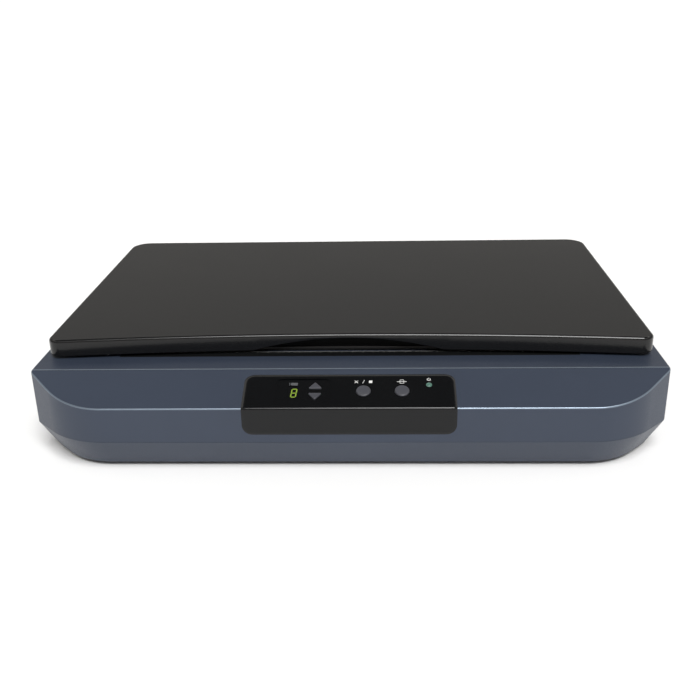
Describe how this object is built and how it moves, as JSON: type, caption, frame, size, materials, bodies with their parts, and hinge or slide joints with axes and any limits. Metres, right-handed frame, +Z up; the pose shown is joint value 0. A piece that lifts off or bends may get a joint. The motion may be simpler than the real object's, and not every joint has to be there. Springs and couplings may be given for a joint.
{
  "type": "flatbed document scanner",
  "caption": "Wide flatbed document scanner with a hinged lid, sloping control panel, glass platen and a belt-driven scanning carriage inside.",
  "frame": {"origin": "under the middle of the scanner, on the surface that its feet stand on", "axes": "+X to the right of the user, +Y to the back where the lid is hinged, +Z up"},
  "size_m": [0.58, 0.4144, 0.102],
  "materials": {
    "acetal": "natural acetal",
    "board": "green solder mask",
    "body_paint": "satin blue-grey paint over moulded plastic",
    "bronze": "sintered bronze",
    "chips": "black moulded epoxy",
    "dark_plastic": "black moulded plastic",
    "display": "dark window with a yellow-green digit",
    "foam_white": "white film over foam",
    "glass": "clear float glass",
    "inner_plastic": "matt black moulded plastic",
    "key_grey": "satin grey moulded plastic",
    "lamp_lens": "translucent green plastic",
    "lid_black": "glossy black moulded plastic",
    "mirror": "front-silvered mirror",
    "panel_black": "glossy black moulded plastic",
    "plated": "zinc plate",
    "ribbon": "white flat cable",
    "rubber": "black rubber",
    "steel": "bright steel",
    "white_film": "matt white film"
  },
  "bodies": {
    "base": {"lower_housing": "body_paint", "upper_housing": "body_paint", "rubber_feet": "rubber", "housing_screws": "plated", "inner_screws": "plated", "platen_glass": "glass", "calibration_strip": "white_film", "size_rulers": "dark_plastic", "control_panel": "panel_black", "display_window": "display", "digit_display": "display", "power_lamp": "lamp_lens", "control_board": "board", "key_switches": "chips", "guide_rod": "steel", "guide_rail": "steel", "rod_clamps": "inner_plastic", "timing_belt": "rubber", "pulley_studs": "steel", "stepper_motor": "steel", "motor_bracket": "plated", "idler_bracket": "plated", "tension_spring": "steel", "main_board": "board", "board_components": "chips", "usb_port": "plated", "power_inlet": "dark_plastic", "switch_frame": "dark_plastic", "control_cable": "ribbon", "ribbon_cable": "ribbon"},
    "carriage": {"carriage_housing": "inner_plastic", "carriage_cover": "inner_plastic", "scan_lamp": "foam_white", "lamp_reflector": "mirror", "fold_mirrors": "mirror", "lens_barrel": "inner_plastic", "sensor_board": "board", "lamp_inverter": "board", "rod_bushings": "bronze", "glide_pad": "acetal", "belt_clamp": "inner_plastic"},
    "belt_gear": {"belt_gear": "acetal"},
    "motor_pinion": {"motor_pinion": "bronze"},
    "idler_pulley": {"idler_pulley": "acetal"},
    "hinge_posts": {"hinge_post_right": "lid_black", "hinge_post_left": "lid_black", "hinge_pins": "steel"},
    "lid": {"lid_cover": "lid_black", "lid_inner": "dark_plastic", "document_mat": "foam_white", "lid_bumpers": "rubber", "lid_screws": "plated"},
    "cancel_button": {"cancel_button": "key_grey"},
    "scan_button": {"scan_button": "key_grey"},
    "up_key": {"up_key": "key_grey"},
    "down_key": {"down_key": "key_grey"},
    "power_rocker": {"power_rocker": "dark_plastic"},
    "carriage_lock": {"carriage_lock": "acetal"}
  },
  "joints": [
    {"name": "lid_lift", "type": "slide", "parent": "base", "child": "hinge_posts", "axis": [0, 0, 1], "range_m": [0, 0.018]},
    {"name": "lid_hinge", "type": "hinge", "parent": "hinge_posts", "child": "lid", "pos_m": [0, 0.197, 0.091], "axis": [-1, 0, 0], "range_deg": [0, 95]},
    {"name": "carriage_slide", "type": "slide", "parent": "base", "child": "carriage", "axis": [1, 0, 0], "range_m": [0, 0.44], "deforming": ["ribbon_cable"]},
    {"name": "belt_gear_spin", "type": "hinge", "parent": "base", "child": "belt_gear", "pos_m": [0.248, -0.158, 0.045], "axis": [0, 0, 1], "continuous": true},
    {"name": "pinion_spin", "type": "hinge", "parent": "base", "child": "motor_pinion", "pos_m": [0.22202, -0.173, 0.04], "axis": [0, 0, 1], "continuous": true},
    {"name": "idler_spin", "type": "hinge", "parent": "base", "child": "idler_pulley", "pos_m": [-0.262, -0.158, 0.048], "axis": [0, 0, 1], "continuous": true},
    {"name": "cancel_press", "type": "slide", "parent": "base", "child": "cancel_button", "axis": [0, 0.3644, -0.9312], "range_m": [0, 0.0008], "stiffness_N_per_m": 800, "springref_m": -0.0006},
    {"name": "scan_press", "type": "slide", "parent": "base", "child": "scan_button", "axis": [0, 0.3644, -0.9312], "range_m": [0, 0.0008], "stiffness_N_per_m": 800, "springref_m": -0.0006},
    {"name": "up_press", "type": "slide", "parent": "base", "child": "up_key", "axis": [0, 0.3644, -0.9312], "range_m": [0, 0.0008], "stiffness_N_per_m": 800, "springref_m": -0.0006},
    {"name": "down_press", "type": "slide", "parent": "base", "child": "down_key", "axis": [0, 0.3644, -0.9312], "range_m": [0, 0.0008], "stiffness_N_per_m": 800, "springref_m": -0.0006},
    {"name": "power_rock", "type": "hinge", "parent": "base", "child": "power_rocker", "pos_m": [0.15, 0.2015, 0.02], "axis": [0, 0, 1], "range_deg": [0, 16]},
    {"name": "lock_slide", "type": "slide", "parent": "base", "child": "carriage_lock", "axis": [0, 1, 0], "range_m": [0, 0.01]}
  ],
  "couplings": [
    {"joint": "belt_gear_spin", "follows": "carriage_slide", "rad_per_m": -125},
    {"joint": "idler_spin", "follows": "carriage_slide", "rad_per_m": -125},
    {"joint": "pinion_spin", "follows": "carriage_slide", "rad_per_m": 500}
  ]
}
